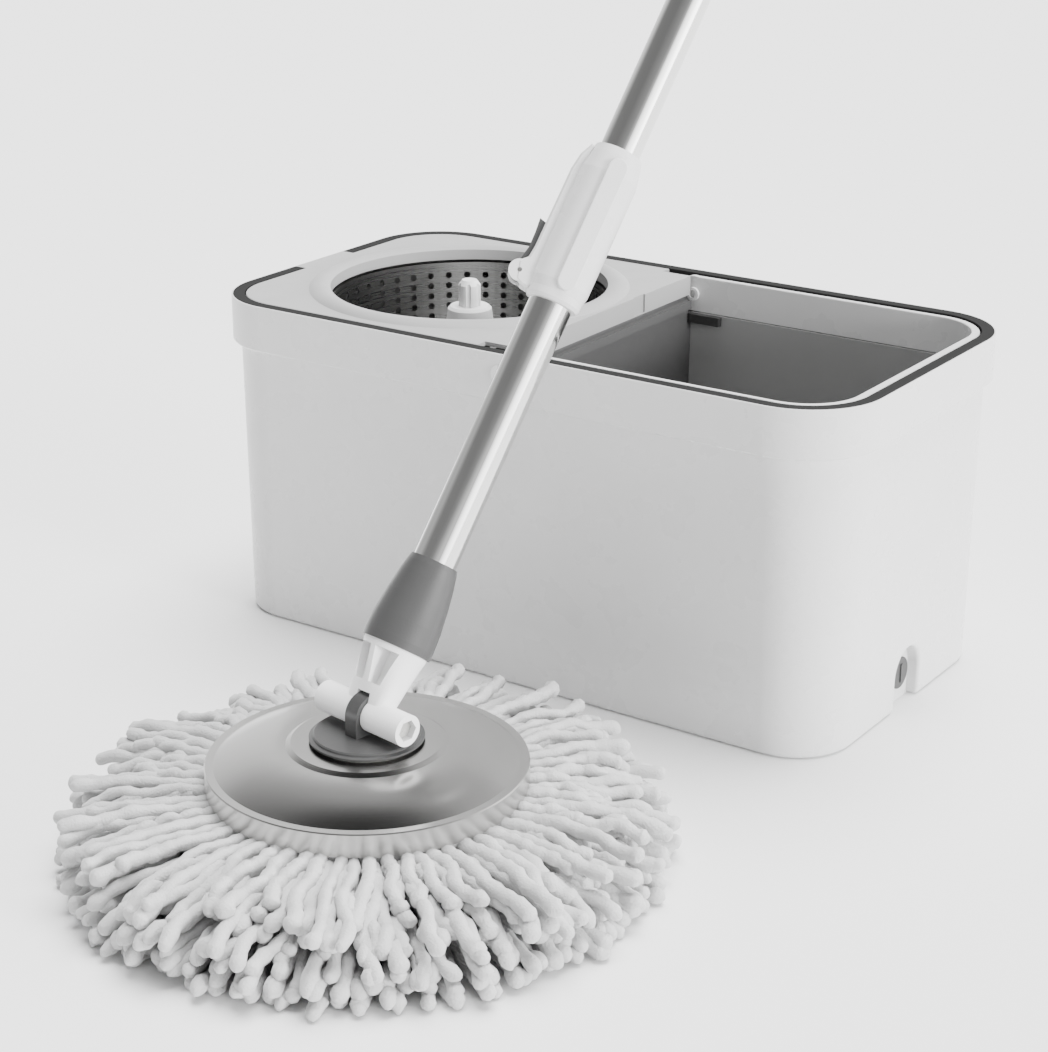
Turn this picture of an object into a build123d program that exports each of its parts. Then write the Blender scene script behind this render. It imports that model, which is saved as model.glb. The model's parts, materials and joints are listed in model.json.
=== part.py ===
"""Spin mop with its two-compartment bucket, modelled piece by piece.

The origin is the centre of the bucket's footprint on the floor, +Z is up, +X runs along the
bucket towards its drain, and the mop stands on the -Y side.  Lengths are millimetres.
"""
from build123d import *
from math import cos, radians, sin
import os

os.makedirs("parts", exist_ok=True)

# ---------------------------------------------------------------- driving dimensions: bucket
bucket_height = 200.0
rim_length, rim_width, rim_corner = 427.0, 223.0, 45.0
wall_length, wall_width, wall_corner = 417.0, 213.0, 40.0
base_length, base_width, base_corner = 413.0, 208.0, 36.0
skirt_bottom, skirt_slope = 172.0, 1.3
foot_depth, foot_radius, foot_x, foot_y = 1.2, 8.8, 175.0, 75.0
shell_wall, shell_floor = 2.5, 3.0
rim_lip = 0.9
pocket_bottom = 174.5
flange_bottom, flange_inner = 196.0, 8.0

tub_floor_bottom, tub_floor_top = 9.0, 12.0
tub_wall = 2.5
tub_base_length, tub_base_width, tub_base_corner = 383.0, 190.0, 30.0
tub_neck_length, tub_neck_width, tub_neck_corner = 401.0, 198.0, 34.0
upper_offset = 5.5
ledge_bottom, ledge_top = 174.7, 177.0
divider_x, divider_wall = 0.0, 3.0
divider_lip, divider_lip_bottom, divider_top = 5.5, 180.0, 188.0
spindle_boss_radius, spindle_boss_top = 11.0, 30.0
screw_x, screw_y, screw_core_radius = 150.0, 70.0, 1.6

# ---------------------------------------------------------------- driving dimensions: handle
pivot_x, pivot_z = 4.0, 188.5
handle_top, handle_bottom = 199.5, 177.5
handle_end_x, handle_half_width = 204.5, 101.0
handle_arm, handle_end = 3.0, 5.0
handle_corner = 34.0
pin_radius, pin_clearance = 3.5, 0.05
pin_boss_radius, pin_cap_radius = 4.2, 5.2

# ---------------------------------------------------------------- driving dimensions: wringer
basket_x = -96.0
cover_gap = 0.6
cover_face_x = 3.0
cover_sheet, cover_skirt = 2.4, 2.0
opening_radius, ring_crest_radius, ring_radius, ring_height = 84.0, 89.5, 97.0, 3.0
opening_lip_bottom = 195.0
tab_half_width = 24.0
notch_inner_y, notch_left_x = 95.0, -17.0
basket_radius, basket_floor_radius, basket_rim_radius = 83.6, 80.0, 86.2
basket_top, basket_floor, steel = 193.5, 105.0, 0.8
clamp_circle, clamp_screw_radius = 27.0, 1.5
post_foot_radius, post_shoulder_radius, post_tip_radius = 24.0, 13.3, 6.7
post_shoulder, post_top, post_bottom = 187.5, 203.5, 36.0
spindle_radius, spindle_clearance = 4.0, 0.05
spindle_top, washer_bottom = 194.0, 33.0

# ---------------------------------------------------------------- driving dimensions: drain
recess_half_width, recess_top, recess_back, recess_wall = 15.0, 35.0, 199.4, 2.3
drain_z, spout_radius, drain_radius = 18.5, 9.4, 6.5
spout_end = 200.0

# ---------------------------------------------------------------- driving dimensions: mop
mop_x, mop_y, knuckle_z = 62.5, -308.7, 75.4
lean, lean_azimuth = 35.5, 80.0
plate_radius, plate_rim_z, band_depth = 80.0, 51.0, 12.0
plate_step_radius, plate_step_z = 38.0, 61.5
hub_radius, hub_bottom, hub_top = 26.5, 62.8, 65.8
neck_radius, rivet_circle, rivet_radius = 9.0, 34.0, 1.6
core_bottom, ring_bottom = 31.0, 27.0
fringe_radius = 150.0
barrel_radius, barrel_length = 8.0, 59.0
lug_width, lug_radius = 8.0, 10.4
knuckle_pin_radius = 3.0
running = 0.05
socket_foot, socket_top = 35.0, 81.0
lower_tube_radius, lower_tube_bore = 11.2, 10.6
lower_tube_end = 262.0
upper_tube_radius, upper_tube_bore = 10.5, 9.9
upper_tube_start, upper_tube_end = 215.0, 1070.0
collar_foot, collar_top, collar_radius = 222.0, 306.0, 15.6
lever_angle, pad_angle = -139.0, -38.0
lug_station, lug_offset, lug_boss_radius = 230.5, 21.0, 5.0
lever_pin_radius, lever_half_width = 1.2, 3.8
pad_length, pad_width, pad_reach = 72.0, 10.0, 17.0
rod_start, rod_turns, rod_pitch = 60.0, 2.25, 140.0
nut_radius, rod_opening = 8.32, 5.4
grip_start, grip_end, grip_radius = 940.0, 1080.0, 15.0
cap_end, hang_radius = 1112.0, 4.0

# ---------------------------------------------------------------- directions of the leaning pole
lean_dir = Vector(
    sin(radians(lean)) * cos(radians(lean_azimuth)),
    sin(radians(lean)) * sin(radians(lean_azimuth)),
    cos(radians(lean)),
)
barrel_dir = Vector(cos(radians(lean_azimuth - 90)), sin(radians(lean_azimuth - 90)), 0)
knuckle = Vector(mop_x, mop_y, knuckle_z)
pole = Plane(origin=knuckle, x_dir=barrel_dir, z_dir=lean_dir)
pole_axis = Axis(knuckle, lean_dir)
head_axis = Axis((mop_x, mop_y, 0), (0, 0, 1))
basket_axis = Axis((basket_x, 0, 0), (0, 0, 1))
head_section = Plane(origin=(mop_x, mop_y, 0), x_dir=(1, 0, 0), z_dir=(0, -1, 0))
basket_section = Plane(origin=(basket_x, 0, 0), x_dir=(1, 0, 0), z_dir=(0, -1, 0))


def across_pole(station):
    """The plane square to the pole, a distance along it from the knuckle."""
    return pole.offset(station)


def along_pole(angle):
    """The plane through the pole's axis: x is outwards at the angle, y is along the pole."""
    outwards = barrel_dir * cos(radians(angle)) + pole.y_dir * sin(radians(angle))
    return Plane(origin=knuckle, x_dir=outwards, z_dir=outwards.cross(lean_dir))


def outline(plane, points):
    """A closed straight-sided profile on a plane."""
    with BuildSketch(plane) as sketch:
        with BuildLine():
            Polyline(*points, close=True)
        make_face()
    return sketch.sketch


def slab(height, length, width, corner):
    """A rounded rectangle, centred on the bucket at a height."""
    with BuildSketch(Plane.XY.offset(height)) as sketch:
        RectangleRounded(length, width, corner)
    return sketch.sketch


def rim_slab(height, inset):
    """The rim's own outline, moved inwards."""
    return slab(height, rim_length - 2 * inset, rim_width - 2 * inset, rim_corner - inset)


def disc(plane, radius):
    """A disc on a plane."""
    with BuildSketch(plane) as sketch:
        Circle(radius)
    return sketch.sketch


def finish(piece, name):
    """Label a piece and write it."""
    piece.part.label = name
    export_step(piece.part, "parts/" + name + ".step")


# ================================================================ bucket: outer shell
shell_cavity_top = pocket_bottom + 0.5
recess_centre = recess_top - recess_half_width
screw_spots = [(x, y) for x in (-screw_x, screw_x) for y in (-screw_y, screw_y)]
foot_spots = [(x, y) for x in (-foot_x, foot_x) for y in (-foot_y, foot_y)]


def on_recess_rim(edge):
    """Whether an edge is where the recess meets the outside of the end wall."""
    spot = edge.center()
    beside = abs(spot.Y) < recess_half_width + 0.5
    return beside and spot.X > recess_back + 4 and 3.6 < spot.Z < recess_top + 0.5


with BuildPart() as outer_shell:
    loft([slab(0, base_length, base_width, base_corner),
          slab(skirt_bottom + 1, wall_length, wall_width, wall_corner)])
    fillet(outer_shell.edges().group_by(Axis.Z)[0], 3.5)
    loft([rim_slab(skirt_bottom, skirt_slope), rim_slab(skirt_bottom + skirt_slope, 0)])
    extrude(rim_slab(skirt_bottom + skirt_slope, 0), amount=bucket_height - skirt_bottom - skirt_slope)
    fillet(outer_shell.edges().group_by(Axis.Z)[-1], 0.5)
    loft([slab(shell_floor, base_length - 2 * shell_wall,
               base_width - 2 * shell_wall, base_corner - shell_wall),
          slab(shell_cavity_top, wall_length - 2 * shell_wall,
               wall_width - 2 * shell_wall, wall_corner - shell_wall)], mode=Mode.SUBTRACT)
    extrude(rim_slab(pocket_bottom, shell_wall), amount=bucket_height, mode=Mode.SUBTRACT)
    extrude(rim_slab(flange_bottom, rim_lip), amount=bucket_height, mode=Mode.SUBTRACT)
    # the arched recess that the drain sits in
    with BuildSketch(Plane.YZ.offset(recess_back - recess_wall)):
        with Locations((0, recess_centre)):
            Circle(recess_half_width + recess_wall)
            Rectangle(2 * (recess_half_width + recess_wall), recess_centre - shell_floor + 0.5,
                      align=(Align.CENTER, Align.MAX))
    extrude(amount=base_length / 2 - 2 - recess_back + recess_wall)
    with BuildSketch(Plane.YZ.offset(recess_back)):
        with Locations((0, recess_centre)):
            Circle(recess_half_width)
            Rectangle(2 * recess_half_width, recess_top, align=(Align.CENTER, Align.MAX))
    extrude(amount=20, mode=Mode.SUBTRACT)
    fillet(outer_shell.edges().filter_by(on_recess_rim), 2.0)
    with BuildSketch(Plane.YZ.offset(185)):
        with Locations((0, drain_z)):
            Circle(spout_radius + 0.3)
    extrude(amount=20, mode=Mode.SUBTRACT)
    # screw holes, recesses for the heads, and pockets for the feet
    with Locations(*[(x, y, 0) for x, y in screw_spots]):
        Cylinder(2.1, 20, mode=Mode.SUBTRACT)
        Cylinder(4.2, 2.4, mode=Mode.SUBTRACT)
    with Locations(*[(x, y, 0) for x, y in foot_spots]):
        Cylinder(foot_radius + 0.2, 2 * foot_depth, mode=Mode.SUBTRACT)
    # holes for the carry handle's pins
    with BuildSketch(Plane.XZ.offset(-120)):
        with Locations((pivot_x, pivot_z)):
            Circle(pin_radius)
    extrude(amount=240, mode=Mode.SUBTRACT)
finish(outer_shell, "outer_shell")

# ================================================================ bucket: inner tub
with BuildPart() as inner_tub:
    loft([slab(tub_floor_bottom, tub_base_length, tub_base_width, tub_base_corner),
          slab(ledge_bottom, tub_neck_length, tub_neck_width, tub_neck_corner)])
    extrude(rim_slab(ledge_bottom, upper_offset), amount=bucket_height - ledge_bottom)
    extrude(rim_slab(flange_bottom, rim_lip), amount=bucket_height - flange_bottom)
    loft([slab(tub_floor_top, tub_base_length - 2 * tub_wall,
               tub_base_width - 2 * tub_wall, tub_base_corner - tub_wall),
          slab(ledge_top + 1, tub_neck_length - 2 * tub_wall,
               tub_neck_width - 2 * tub_wall, tub_neck_corner - tub_wall)], mode=Mode.SUBTRACT)
    extrude(rim_slab(ledge_top, flange_inner), amount=bucket_height, mode=Mode.SUBTRACT)
    # the divider between the wringer side and the water side, with its thicker top edge
    divider_reach = tub_neck_width - 2 * tub_wall + 1
    divider_foot = tub_base_width - 4
    with BuildSketch(Plane.YZ.offset(divider_x)):
        with BuildLine():
            Polyline((-divider_foot / 2, tub_floor_top - 1), (divider_foot / 2, tub_floor_top - 1),
                     (divider_reach / 2, ledge_top), (-divider_reach / 2, ledge_top), close=True)
        make_face()
    extrude(amount=divider_wall)
    divider_edge = 2 * notch_inner_y - 4
    for low, thickness in ((ledge_top - 1, divider_wall), (divider_lip_bottom, divider_lip)):
        with BuildSketch(Plane.YZ.offset(divider_x)):
            with Locations((0, low)):
                Rectangle(divider_edge, divider_top - low, align=(Align.CENTER, Align.MIN))
        extrude(amount=thickness)
    # spindle boss, screw bosses and drain spout
    with BuildSketch(Plane.XY.offset(tub_floor_bottom)):
        with Locations((basket_x, 0)):
            Circle(spindle_boss_radius)
    extrude(amount=spindle_boss_top - tub_floor_bottom)
    with BuildSketch(Plane.XY.offset(shell_floor)):
        with Locations(*screw_spots):
            Circle(5)
    extrude(amount=18 - shell_floor)
    with BuildSketch(Plane.XY.offset(shell_floor)):
        with Locations(*screw_spots):
            Circle(screw_core_radius)
    extrude(amount=11, mode=Mode.SUBTRACT)
    with BuildSketch(Plane.YZ.offset(186)):
        with Locations((0, drain_z)):
            Circle(spout_radius)
    extrude(amount=spout_end - 186)
    with BuildSketch(Plane.YZ.offset(180)):
        with Locations((0, drain_z)):
            Circle(drain_radius)
    extrude(amount=30, mode=Mode.SUBTRACT)
    with BuildSketch(Plane.XY):
        with Locations((basket_x, 0)):
            Circle(spindle_radius)
    extrude(amount=40, mode=Mode.SUBTRACT)
    with BuildSketch(Plane.XZ.offset(-120)):
        with Locations((pivot_x, pivot_z)):
            Circle(pin_radius)
    extrude(amount=240, mode=Mode.SUBTRACT)
    # the flange stops either side of the cover's tab
    with Locations((-rim_length / 2 + rim_lip, 0, flange_bottom)):
        Box(7.2, 2 * tab_half_width, 10, align=(Align.MIN, Align.CENTER, Align.MIN), mode=Mode.SUBTRACT)
finish(inner_tub, "inner_tub")

# ================================================================ bucket: small pieces
with BuildPart() as rubber_feet:
    with BuildSketch(Plane.XY):
        with Locations(*foot_spots):
            Circle(foot_radius)
    extrude(amount=foot_depth)
    chamfer(rubber_feet.edges().group_by(Axis.Z)[0], 0.4)
finish(rubber_feet, "rubber_feet")

with BuildPart() as tub_screws:
    with BuildSketch(Plane.XY.offset(0.2)):
        with Locations(*screw_spots):
            Circle(3.8)
    extrude(amount=1.0)
    with BuildSketch(Plane.XY.offset(0.2)):
        with Locations(*screw_spots):
            Circle(screw_core_radius)
    extrude(amount=13)
    with BuildSketch(Plane.XY.offset(0.2)):
        with Locations(*screw_spots):
            Rectangle(4.4, 0.9)
            Rectangle(0.9, 4.4)
    extrude(amount=0.6, mode=Mode.SUBTRACT)
finish(tub_screws, "tub_screws")

pin_start = handle_half_width - 5.2
pin_length = rim_width / 2 - pin_start
with BuildPart() as handle_pins:
    for side in (-1, 1):
        pin_plane = Plane(origin=(pivot_x, side * pin_start, pivot_z), x_dir=(1, 0, 0), z_dir=(0, side, 0))
        extrude(disc(pin_plane, pin_radius), amount=pin_length)
        extrude(disc(pin_plane, pin_boss_radius), amount=1.8)
        extrude(disc(pin_plane.offset(pin_length), pin_cap_radius), amount=0.9)
        extrude(disc(pin_plane, 2.4), amount=2.6, mode=Mode.SUBTRACT)
finish(handle_pins, "handle_pins")

with BuildPart() as handle_stops:
    with Locations(*[(14.6, side * (tub_neck_width / 2 - tub_wall - 2.6), 174.2) for side in (-1, 1)]):
        Box(22, 4, 5.5)
    fillet(handle_stops.edges().filter_by(Axis.Z), 1)
finish(handle_stops, "handle_stops")

with BuildPart() as spindle:
    revolve(outline(basket_section, [
        (0, 4.6), (spindle_radius, 4.6), (spindle_radius, spindle_boss_top),
        (8, spindle_boss_top), (8, washer_bottom), (spindle_radius, washer_bottom),
        (spindle_radius, spindle_top - 1), (3, spindle_top), (0, spindle_top),
    ]), axis=basket_axis)
finish(spindle, "spindle")

with BuildPart() as spindle_nut:
    with BuildSketch(Plane.XY.offset(tub_floor_bottom - 4)):
        with Locations((basket_x, 0)):
            RegularPolygon(7.5, 6)
            Circle(spindle_radius, mode=Mode.SUBTRACT)
    extrude(amount=4)
finish(spindle_nut, "spindle_nut")

with BuildPart() as thrust_washer:
    with BuildSketch(Plane.XY.offset(washer_bottom)):
        with Locations((basket_x, 0)):
            Circle(8)
            Circle(spindle_radius, mode=Mode.SUBTRACT)
    extrude(amount=1.5)
finish(thrust_washer, "thrust_washer")

# ================================================================ carry handle
handle_bar = 2 * (handle_end_x - pivot_x) + 60
with BuildPart() as carry_handle:
    with BuildSketch(Plane.XY.offset(handle_bottom)):
        with Locations((handle_end_x, 0)):
            RectangleRounded(handle_bar, 2 * handle_half_width, handle_corner,
                             align=(Align.MAX, Align.CENTER))
        with Locations((handle_end_x - handle_end, 0)):
            RectangleRounded(handle_bar, 2 * (handle_half_width - handle_arm),
                             handle_corner - handle_arm, align=(Align.MAX, Align.CENTER),
                             mode=Mode.SUBTRACT)
        with Locations((pivot_x, 0)):
            Rectangle(400, 300, align=(Align.MAX, Align.CENTER), mode=Mode.SUBTRACT)
    extrude(amount=handle_top - handle_bottom)
    top_edges = carry_handle.edges().group_by(Axis.Z)[-1]
    fillet(top_edges.filter_by(lambda edge: edge.center().X > pivot_x + 1), 0.8)
    for side in (-1, 1):
        arm_plane = Plane(origin=(pivot_x, side * (handle_half_width - handle_arm), pivot_z),
                          x_dir=(1, 0, 0), z_dir=(0, side, 0))
        extrude(disc(arm_plane, (handle_top - handle_bottom) / 2), amount=handle_arm)
    with BuildSketch(Plane.XZ.offset(-rim_width)):
        with Locations((pivot_x, pivot_z)):
            Circle(pin_radius + pin_clearance)
    extrude(amount=2 * rim_width, mode=Mode.SUBTRACT)
finish(carry_handle, "carry_handle")

# ================================================================ wringer cover
cover_inset = flange_inner + cover_gap
with BuildPart() as wringer_cover:
    extrude(rim_slab(ledge_top + 0.3, cover_inset), amount=bucket_height - ledge_top - 0.3)
    fillet(wringer_cover.edges().group_by(Axis.Z)[-1], 0.8)
    extrude(rim_slab(ledge_top, cover_inset + cover_skirt),
            amount=bucket_height - cover_sheet - ledge_top, mode=Mode.SUBTRACT)
    with Locations((cover_face_x, 0, 0)):
        Box(400, 400, 500, align=(Align.MIN, Align.CENTER, Align.CENTER), mode=Mode.SUBTRACT)
    with BuildSketch(Plane.YZ.offset(cover_face_x)):
        with Locations((0, (divider_top + 0.3 + bucket_height) / 2)):
            Rectangle(2 * notch_inner_y, bucket_height - divider_top - 0.3)
    extrude(amount=-cover_skirt)
    # raised ring round the opening
    with BuildSketch(basket_section):
        with BuildLine():
            crest = ThreePointArc((ring_radius, bucket_height),
                                  (ring_crest_radius, bucket_height + ring_height),
                                  (opening_radius, bucket_height + 1.4))
            Polyline(crest @ 1, (opening_radius, opening_lip_bottom),
                     (opening_radius + 2, opening_lip_bottom),
                     (opening_radius + 2, bucket_height - cover_sheet),
                     (ring_radius, bucket_height - cover_sheet), crest @ 0)
        make_face()
    revolve(axis=basket_axis)
    with BuildSketch(Plane.XY.offset(opening_lip_bottom - 30)):
        with Locations((basket_x, 0)):
            Circle(opening_radius)
    extrude(amount=60, mode=Mode.SUBTRACT)
    # the tab over the rim at the far end
    with Locations((-rim_length / 2 + rim_lip + 0.3, 0, flange_bottom + 0.3)):
        Box(12, 2 * tab_half_width - 0.8, bucket_height - flange_bottom - 0.3,
            align=(Align.MIN, Align.CENTER, Align.MIN))
    # notches that the handle's arms turn in
    for side in (-1, 1):
        with Locations((notch_left_x, side * notch_inner_y, bucket_height)):
            Box(60, 40, 80, align=(Align.MIN, Align.MIN if side > 0 else Align.MAX, Align.CENTER),
                mode=Mode.SUBTRACT)
    # finger notch in the straight edge
    with Locations((cover_face_x, 36, bucket_height - 5.5)):
        Box(1.2, 12, 11.2, align=(Align.MAX, Align.CENTER, Align.CENTER), mode=Mode.SUBTRACT)
finish(wringer_cover, "wringer_cover")

# ================================================================ spin basket and its post
clamp_spots = [(basket_x + clamp_circle * cos(radians(a)), clamp_circle * sin(radians(a)))
               for a in (30, 150, 270)]
with BuildPart() as spin_basket:
    revolve(outline(basket_section, [
        (20, basket_floor), (basket_floor_radius - 6, basket_floor),
        (basket_floor_radius - 1.5, basket_floor + 2), (basket_floor_radius, basket_floor + 7),
        (basket_radius, basket_top - 1.6), (basket_rim_radius, basket_top - 1.6),
        (basket_rim_radius, basket_top), (basket_radius - steel, basket_top),
        (basket_floor_radius - steel, basket_floor + 7), (basket_floor_radius - 2.1, basket_floor + 2.6),
        (basket_floor_radius - 6.4, basket_floor + steel), (20, basket_floor + steel),
    ]), axis=basket_axis)
    with BuildSketch(Plane.XY.offset(basket_floor - 1)):
        with Locations(*clamp_spots):
            Circle(clamp_screw_radius + 0.1)
    extrude(amount=4, mode=Mode.SUBTRACT)
finish(spin_basket, "spin_basket")

with BuildPart() as drive_post:
    revolve(outline(basket_section, [
        (7, post_bottom), (11.5, post_bottom), (11.5, basket_floor - 4.6), (19.8, basket_floor - 4.6),
        (19.8, basket_floor + steel), (33, basket_floor + steel), (33, basket_floor + 4),
        (post_foot_radius + 2, basket_floor + 5), (post_foot_radius, basket_floor + 9),
        (post_shoulder_radius + 1, post_shoulder - 8), (post_shoulder_radius, post_shoulder - 1.5),
        (post_shoulder_radius - 1.5, post_shoulder), (post_tip_radius, post_shoulder),
        (post_tip_radius, post_top - 3), (post_tip_radius - 2.2, post_top), (0, post_top),
        (0, spindle_top + 3), (4.6, spindle_top + 3), (4.6, 186), (7, 186),
    ]), axis=basket_axis)
    with BuildSketch(Plane.XY.offset(post_shoulder)):
        with Locations((basket_x, 0)):
            with PolarLocations(post_tip_radius + 0.9, 6):
                Circle(1.9)
    extrude(amount=20, mode=Mode.SUBTRACT)
    with BuildSketch(Plane.XY.offset(basket_floor - 5)):
        with Locations(*clamp_spots):
            Circle(clamp_screw_radius)
    extrude(amount=8.2, mode=Mode.SUBTRACT)
finish(drive_post, "drive_post")

with BuildPart() as clamp_plate:
    revolve(outline(basket_section, [
        (19.8, basket_floor - 4.6), (34, basket_floor - 4.6), (34, basket_floor), (19.8, basket_floor),
    ]), axis=basket_axis)
    with BuildSketch(Plane.XY.offset(basket_floor - 5)):
        with Locations(*clamp_spots):
            Circle(clamp_screw_radius)
    extrude(amount=8, mode=Mode.SUBTRACT)
finish(clamp_plate, "clamp_plate")

with BuildPart() as clamp_screws:
    with BuildSketch(Plane.XY.offset(basket_floor - 6.4)):
        with Locations(*clamp_spots):
            Circle(3)
    extrude(amount=1.8)
    with BuildSketch(Plane.XY.offset(basket_floor - 6.4)):
        with Locations(*clamp_spots):
            Circle(clamp_screw_radius)
    extrude(amount=9)
finish(clamp_screws, "clamp_screws")

bush_spans = {"lower_bush": (post_bottom, 52.0), "upper_bush": (168.0, 186.0)}
for bush_name, (low, high) in bush_spans.items():
    with BuildPart() as bush:
        revolve(outline(basket_section, [
            (spindle_radius + spindle_clearance, low), (7, low), (7, high),
            (spindle_radius + spindle_clearance, high),
        ]), axis=basket_axis)
    finish(bush, bush_name)

# ================================================================ drain plug
with BuildPart() as drain_plug:
    with BuildSketch(Plane.YZ.offset(190)):
        with Locations((0, drain_z)):
            Circle(drain_radius - 0.1)
    extrude(amount=spout_end + 0.3 - 190)
    with BuildSketch(Plane.YZ.offset(spout_end + 0.3)):
        with Locations((0, drain_z)):
            Circle(spout_radius)
    extrude(amount=2.2)
    fillet(drain_plug.edges().group_by(Axis.X)[-1], 0.8)
    with Locations((spout_end + 2.5, 0, drain_z)):
        Box(0.9, 2.2, 11, align=(Align.MIN, Align.CENTER, Align.CENTER))
finish(drain_plug, "drain_plug")

# ================================================================ mop head
dome_top, dome_middle = (40, plate_step_z - 1.5), (58, plate_rim_z + 6.7)
dome_foot = (75.5, plate_rim_z)
with BuildPart() as head_plate:
    with BuildSketch(head_section):
        with BuildLine():
            ThreePointArc(dome_top, dome_middle, dome_foot)
            Polyline(dome_foot, (plate_radius - 0.5, plate_rim_z), (plate_radius, plate_rim_z - 0.6),
                     (plate_radius, plate_rim_z - band_depth),
                     (plate_radius - steel, plate_rim_z - band_depth),
                     (plate_radius - steel, plate_rim_z - 1), (75.8, plate_rim_z - 1))
            inside = ThreePointArc((75.8, plate_rim_z - 1), (57.7, plate_rim_z + 5.8),
                                   (39.4, plate_step_z - 1.5 - steel))
            Polyline(inside @ 1, (plate_step_radius - 1.4, plate_step_z - steel),
                     (neck_radius, plate_step_z - steel), (neck_radius, plate_step_z),
                     (plate_step_radius - 0.6, plate_step_z),
                     (plate_step_radius + 0.4, plate_step_z - 0.5), dome_top)
        make_face()
    revolve(axis=head_axis)
finish(head_plate, "head_plate")

rivet_spots = [(mop_x + rivet_circle * cos(radians(a)), mop_y + rivet_circle * sin(radians(a)))
               for a in (10, 130, 250)]
with BuildPart() as head_core:
    revolve(outline(head_section, [
        (neck_radius, core_bottom + 8), (neck_radius, plate_step_z - steel), (35, plate_step_z - steel),
        (39, plate_step_z - 4), (57, plate_rim_z + 3), (68, plate_rim_z - 4), (78.6, plate_rim_z - 3),
        (78.6, core_bottom + 4), (74.5, core_bottom + 4), (74.5, core_bottom), (20, core_bottom),
        (20, core_bottom + 8),
    ]), axis=head_axis)
    with BuildSketch(Plane.XY.offset(core_bottom)):
        with Locations(*rivet_spots):
            Circle(3.2)
    extrude(amount=12, mode=Mode.SUBTRACT)
    with BuildSketch(Plane.XY.offset(core_bottom)):
        with Locations(*rivet_spots):
            Circle(rivet_radius)
    extrude(amount=40, mode=Mode.SUBTRACT)
finish(head_core, "head_core")

with BuildPart() as yarn_ring:
    revolve(outline(head_section, [
        (40, ring_bottom), (74, ring_bottom), (74, core_bottom), (40, core_bottom),
    ]), axis=head_axis)
finish(yarn_ring, "yarn_ring")

with BuildPart() as yarn_fringe:
    with BuildSketch(head_section):
        with BuildLine():
            crest = ThreePointArc((plate_radius + 1.2, 38.5), (112, 42), (fringe_radius - 6, 39))
            Polyline(crest @ 1, (fringe_radius, 31), (fringe_radius, 6), (fringe_radius - 8, 0), (0, 0),
                     (0, ring_bottom), (plate_radius + 1.2, ring_bottom), crest @ 0)
        make_face()
    revolve(axis=head_axis)
finish(yarn_fringe, "yarn_fringe")

with BuildPart() as plate_screws:
    with BuildSketch(Plane.XY.offset(core_bottom + 10)):
        with Locations(*rivet_spots):
            Circle(3)
    extrude(amount=2)
    with BuildSketch(Plane.XY.offset(core_bottom + 10)):
        with Locations(*rivet_spots):
            Circle(rivet_radius)
    extrude(amount=plate_step_z - steel - core_bottom - 10)
finish(plate_screws, "plate_screws")

# ================================================================ mop hub, which the head turns under
barrel_plane = Plane(origin=knuckle, x_dir=(-barrel_dir.Y, barrel_dir.X, 0), z_dir=barrel_dir)
with BuildPart() as hub_disc:
    revolve(outline(head_section, [
        (0, core_bottom + 7), (neck_radius - running, core_bottom + 7), (neck_radius - running, hub_bottom),
        (hub_radius + 2, hub_bottom), (hub_radius + 2, hub_bottom + 1), (hub_radius, hub_bottom + 1.6),
        (hub_radius, hub_top - 0.6), (hub_radius - 0.6, hub_top), (0, hub_top),
    ]), axis=head_axis)
    extrude(disc(barrel_plane, lug_radius), amount=lug_width / 2, both=True)
    with BuildSketch(barrel_plane):
        with Locations((0, -(knuckle_z - hub_top) / 2)):
            Rectangle(2 * lug_radius, knuckle_z - hub_top)
    extrude(amount=lug_width / 2, both=True)
    extrude(disc(barrel_plane, knuckle_pin_radius + running), amount=20, both=True, mode=Mode.SUBTRACT)
    with BuildSketch(Plane.XY.offset(core_bottom + 7)):
        with Locations((mop_x, mop_y)):
            Circle(2)
    extrude(amount=14, mode=Mode.SUBTRACT)
finish(hub_disc, "hub_disc")

with BuildPart() as glide_ring:
    revolve(outline(head_section, [
        (12, plate_step_z + 0.3), (24, plate_step_z + 0.3), (24, hub_bottom), (12, hub_bottom),
    ]), axis=head_axis)
finish(glide_ring, "glide_ring")

with BuildPart() as hub_washer:
    revolve(outline(head_section, [
        (2.1, core_bottom + 5), (15, core_bottom + 5), (15, core_bottom + 7), (2.1, core_bottom + 7),
    ]), axis=head_axis)
finish(hub_washer, "hub_washer")

with BuildPart() as hub_screw:
    revolve(outline(head_section, [
        (0, core_bottom + 2.5), (4, core_bottom + 2.5), (4, core_bottom + 5), (2, core_bottom + 5),
        (2, core_bottom + 19), (0, core_bottom + 20),
    ]), axis=head_axis)
finish(hub_screw, "hub_screw")

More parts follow.
